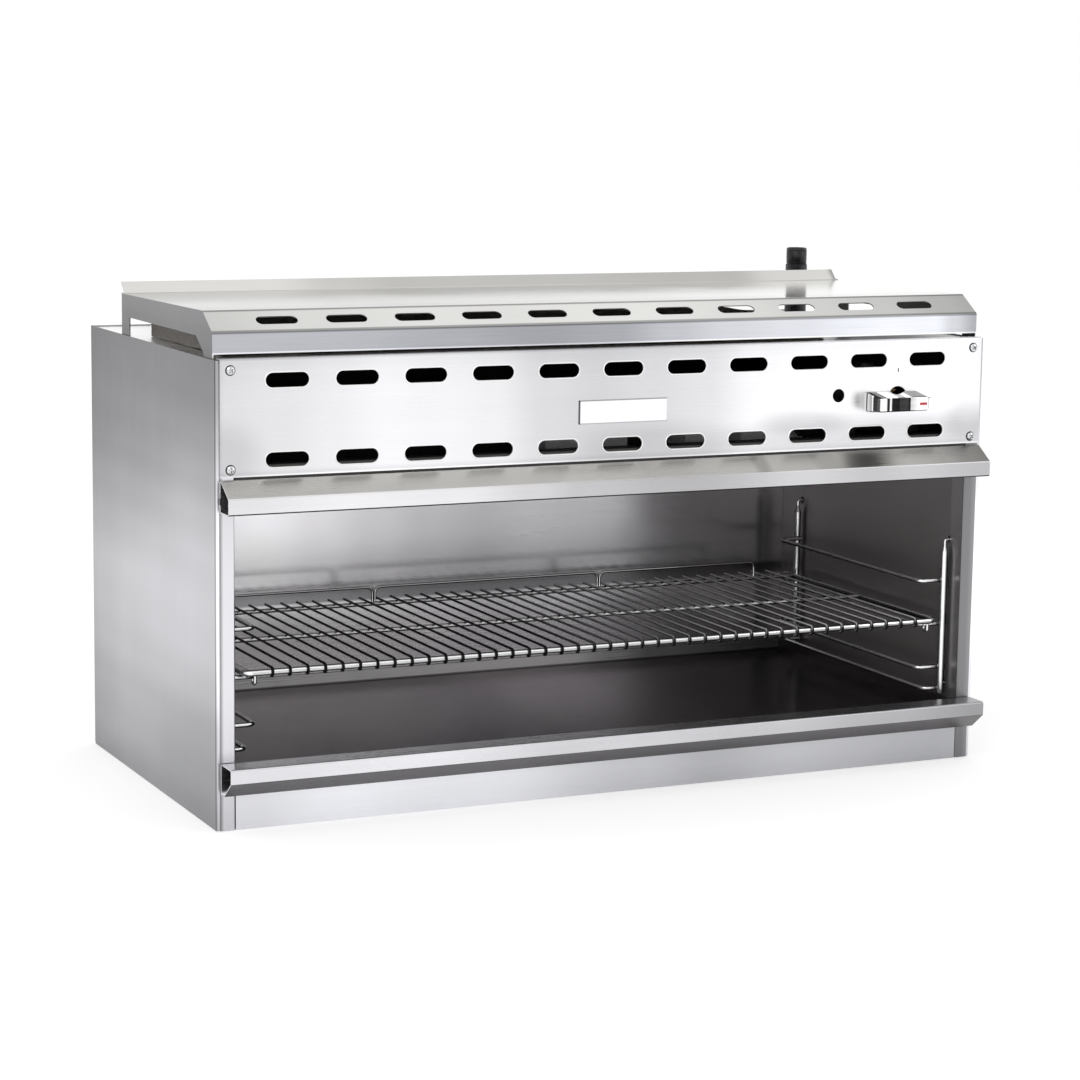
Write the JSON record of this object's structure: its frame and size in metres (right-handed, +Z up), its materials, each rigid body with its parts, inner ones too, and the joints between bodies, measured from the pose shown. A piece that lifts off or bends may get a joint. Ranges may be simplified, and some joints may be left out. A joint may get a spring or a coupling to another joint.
{
  "type": "cheese melter",
  "caption": "Gas cheese melter: stainless cabinet with an open front, overhead infrared burner, wire rack on rungs, slide-out drip pan and a lever gas knob.",
  "frame": {"origin": "the middle of the base's underside, between the side panels and between the front and back planes of the cabinet", "axes": "+Z up; the open front faces -Y; +X is the right-hand end as seen from the front, where the gas knob and the gas inlet are"},
  "size_m": [0.9144, 0.4706, 0.5648],
  "materials": {
    "satin_stainless": "satin",
    "bright_stainless": "satin",
    "cavity_stainless": "satin",
    "aluminised_steel": "matte",
    "pan_steel": "satin",
    "chrome_wire": "polished",
    "screw_steel": "polished",
    "plate_aluminium": "satin",
    "black_iron": "satin",
    "black_pipe": "satin",
    "valve_brass": "satin",
    "cast_aluminium": "matte",
    "tile_ceramic": "matte",
    "fibre": "matte",
    "knob_chrome": "polished",
    "mark_black": "matte",
    "mark_red": "gloss"
  },
  "bodies": {
    "cabinet": {"left_side_panel": "satin_stainless", "right_side_panel": "satin_stainless", "back_panel": "aluminised_steel", "base_pan": "aluminised_steel", "left_jamb": "satin_stainless", "right_jamb": "satin_stainless", "plinth": "satin_stainless", "front_header": "satin_stainless", "control_panel": "bright_stainless", "bare_plate": "plate_aluminium", "panel_screws": "screw_steel", "dial_tick": "mark_black", "canopy": "satin_stainless", "top_cover": "satin_stainless", "top_deck": "aluminised_steel", "burner_blanket": "fibre", "fibre_blocks": "fibre", "cavity_floor": "cavity_stainless", "cavity_back": "cavity_stainless", "cavity_left_wall": "cavity_stainless", "cavity_right_wall": "cavity_stainless", "burner_ceiling": "cavity_stainless", "back_insulation": "fibre", "left_insulation": "fibre", "right_insulation": "fibre", "left_pan_runner": "aluminised_steel", "right_pan_runner": "aluminised_steel", "left_rack_guide": "chrome_wire", "right_rack_guide": "chrome_wire", "burner_box": "aluminised_steel", "burner_tiles": "tile_ceramic", "burner_screen": "aluminised_steel", "mixer_tube": "cast_aluminium", "orifice_hood": "valve_brass", "gas_valve": "valve_brass", "manifold_pipe": "black_pipe", "manifold_cap": "black_iron", "manifold_elbow": "black_iron", "manifold_brackets": "aluminised_steel", "supply_pipe": "black_pipe", "pressure_regulator": "cast_aluminium", "inlet_elbow": "black_iron", "inlet_pipe": "black_pipe", "pilot_valve": "valve_brass", "pilot_tube": "cast_aluminium", "pilot_burner": "aluminised_steel", "back_screws": "screw_steel"},
    "rack": {"rack_frame": "chrome_wire", "rack_wires": "chrome_wire", "rack_fence": "chrome_wire", "rack_hooks": "chrome_wire"},
    "drip_pan": {"pan_tray": "pan_steel", "pan_handle": "satin_stainless"},
    "knob": {"control_knob": "knob_chrome", "knob_mark": "mark_red", "valve_stem": "screw_steel", "knob_set_screw": "screw_steel"}
  },
  "joints": [
    {"name": "knob_turn", "type": "hinge", "parent": "cabinet", "child": "knob", "pos_m": [0.3435, -0.2175, 0.422], "axis": [0, -1, 0], "range_deg": [0, 90]},
    {"name": "rack_slide", "type": "slide", "parent": "cabinet", "child": "rack", "axis": [0, -1, 0], "range_m": [0, 0.3]},
    {"name": "pan_slide", "type": "slide", "parent": "cabinet", "child": "drip_pan", "axis": [0, -1, 0], "range_m": [0, 0.38]}
  ]
}
